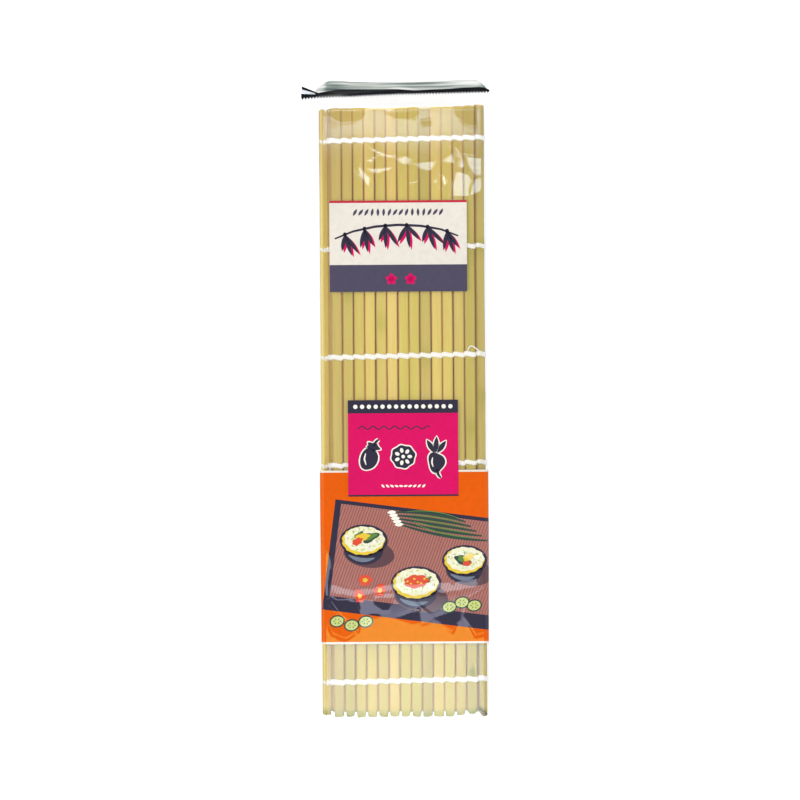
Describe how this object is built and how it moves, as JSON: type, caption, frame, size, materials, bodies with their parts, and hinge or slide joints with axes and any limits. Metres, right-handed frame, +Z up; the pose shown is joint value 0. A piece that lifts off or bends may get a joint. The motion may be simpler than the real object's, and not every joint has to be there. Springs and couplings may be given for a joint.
{
  "type": "sushi rolling mat",
  "caption": "Woven bamboo mat folded in layers that open out flat, inside a clear film packet with printed panels and a folded end flap.",
  "frame": {"origin": "middle of the mat on the packet's underside, where it rests", "axes": "+X across the slats to the right of the printed front, +Y along the slats to the folded end, +Z up out of the printed front"},
  "size_m": [0.0834, 0.2883, 0.0216],
  "materials": {
    "bamboo": "plain bamboo with a fine lengthwise grain",
    "cord": "twisted white cotton cord",
    "film": "clear glossy film",
    "film_seam": "doubled clear film",
    "print_title": "glossy printed white",
    "print_name": "glossy printed magenta",
    "print_picture": "glossy printed orange",
    "seal": "dark heat-sealed strip"
  },
  "bodies": {
    "back_layer": {"slats_44_45": "bamboo", "slats_46_47": "bamboo", "slats_48_49": "bamboo", "slats_50_51": "bamboo", "slats_52_53": "bamboo", "slats_54_55": "bamboo", "cords_back": "cord"},
    "corner_c": {"slat_43": "bamboo", "cords_corner_c": "cord"},
    "third_layer": {"slats_30_31": "bamboo", "slats_32_33": "bamboo", "slats_34_35": "bamboo", "slats_36_37": "bamboo", "slats_38_39": "bamboo", "slats_40_41": "bamboo", "slat_42": "bamboo", "cords_third": "cord"},
    "corner_b": {"slat_29": "bamboo", "cords_corner_b": "cord"},
    "second_layer": {"slat_15": "bamboo", "slat_16": "bamboo", "slat_17": "bamboo", "slat_18": "bamboo", "slat_19": "bamboo", "slat_20": "bamboo", "slat_21": "bamboo", "slat_22": "bamboo", "slat_23": "bamboo", "slat_24": "bamboo", "slat_25": "bamboo", "slat_26": "bamboo", "slat_27": "bamboo", "slat_28": "bamboo", "cords_second": "cord"},
    "corner_a": {"slat_14": "bamboo", "cords_corner_a": "cord"},
    "front_layer": {"slat_01": "bamboo", "slat_02": "bamboo", "slat_03": "bamboo", "slat_04": "bamboo", "slat_05": "bamboo", "slat_06": "bamboo", "slat_07": "bamboo", "slat_08": "bamboo", "slat_09": "bamboo", "slat_10": "bamboo", "slat_11": "bamboo", "slat_12": "bamboo", "slat_13": "bamboo", "cords_front": "cord"},
    "packet": {"film_sleeve": "film", "film_shoulder": "film", "back_seam": "film_seam", "title_print": "print_title", "name_print": "print_name", "picture_print": "print_picture"},
    "packet_flap": {"flap_film": "film", "seal_strip": "seal"}
  },
  "joints": [
    {"name": "unfold", "type": "hinge", "parent": "back_layer", "child": "corner_c", "pos_m": [0.03021, 0, 0.0029], "axis": [0, 1, 0], "range_deg": [0, 110], "deforming": ["film_sleeve", "back_seam", "title_print", "name_print", "picture_print"]},
    {"name": "corner_c_upper", "type": "hinge", "parent": "corner_c", "child": "third_layer", "pos_m": [0.02854, 0, 0.0075], "axis": [0, 1, 0], "range_deg": [0, 70]},
    {"name": "corner_b_lower", "type": "hinge", "parent": "third_layer", "child": "corner_b", "pos_m": [-0.03516, 0, 0.0088], "axis": [0, -1, 0], "range_deg": [0, 110]},
    {"name": "corner_b_upper", "type": "hinge", "parent": "corner_b", "child": "second_layer", "pos_m": [-0.03349, 0, 0.01341], "axis": [0, -1, 0], "range_deg": [0, 70]},
    {"name": "corner_a_lower", "type": "hinge", "parent": "second_layer", "child": "corner_a", "pos_m": [0.03511, 0, 0.01471], "axis": [0, 1, 0], "range_deg": [0, 135]},
    {"name": "corner_a_upper", "type": "hinge", "parent": "corner_a", "child": "front_layer", "pos_m": [0.03165, 0, 0.01817], "axis": [0, 1, 0], "range_deg": [0, 45]},
    {"name": "packet_slide", "type": "slide", "parent": "back_layer", "child": "packet", "axis": [0, 1, 0], "range_m": [0, 0.3]},
    {"name": "flap_crease", "type": "hinge", "parent": "packet", "child": "packet_flap", "pos_m": [0, 0.147, 0.02087], "axis": [-1, 0, 0], "range_deg": [0, 175]}
  ],
  "couplings": [
    {"joint": "corner_c_upper", "follows": "unfold", "ratio": 0.63636},
    {"joint": "corner_b_lower", "follows": "unfold", "ratio": 1},
    {"joint": "corner_b_upper", "follows": "unfold", "ratio": 0.63636},
    {"joint": "corner_a_lower", "follows": "unfold", "ratio": 1.2273},
    {"joint": "corner_a_upper", "follows": "unfold", "ratio": 0.40909}
  ]
}
